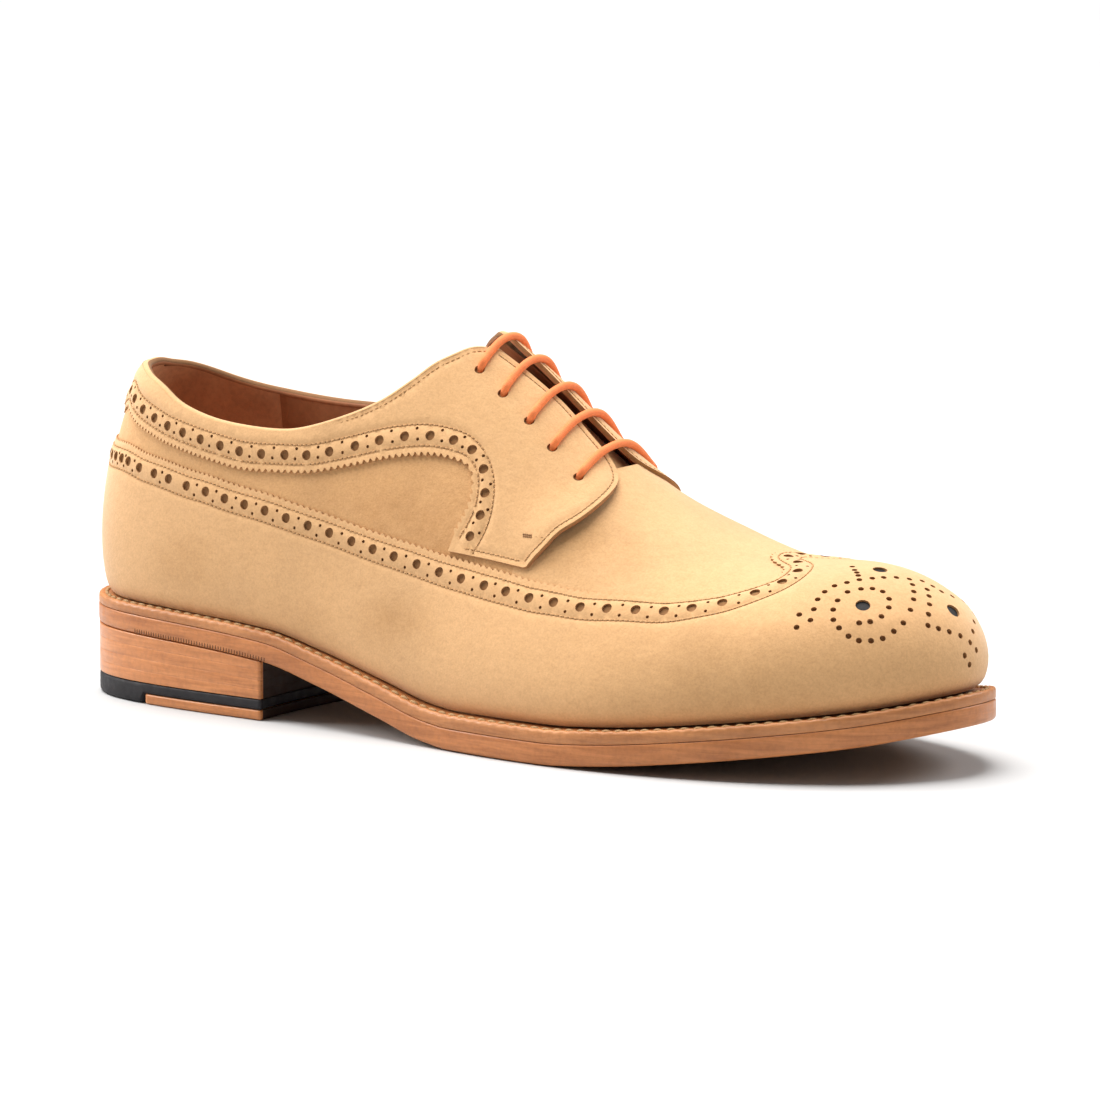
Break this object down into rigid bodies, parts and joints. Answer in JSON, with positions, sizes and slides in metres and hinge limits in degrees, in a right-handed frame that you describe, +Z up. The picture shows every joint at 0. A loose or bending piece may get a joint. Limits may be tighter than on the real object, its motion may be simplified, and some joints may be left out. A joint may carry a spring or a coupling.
{
  "type": "brogue derby shoe",
  "caption": "Longwing brogue derby shoe in tan suede with orange laces, leather welted sole and stacked heel; right foot, empty, standing on its sole and open at the collar.",
  "frame": {"origin": "middle of the shoe's bounding box at the floor", "axes": "+X towards the toe, +Y towards the inner (medial) side of this right shoe, +Z up"},
  "size_m": [0.3, 0.1067, 0.1141],
  "materials": {
    "upper": "tan suede with a soft nap, brown leather lining inside",
    "tongue": "tan suede, brown lining below",
    "lace_bar": "round waxed cotton cord, orange",
    "insole": "brown leather sock, satin",
    "welt": "tan leather, stitched along its top",
    "outsole": "tan sole leather, edges waxed",
    "heel_stack": "stacked sole leather, edges waxed",
    "heel_rubber": "black rubber, matt",
    "heel_leather": "sole leather, waxed"
  },
  "bodies": {
    "root": {"outsole": "outsole", "welt": "welt", "insole": "insole", "heel_stack": "heel_stack", "heel_rubber": "heel_rubber", "heel_leather": "heel_leather", "upper": "upper", "tongue": "tongue", "lace_bar_1": "lace_bar", "lace_bar_2": "lace_bar", "lace_bar_3": "lace_bar", "lace_bar_4": "lace_bar", "lace_bar_5": "lace_bar"}
  },
  "joints": []
}
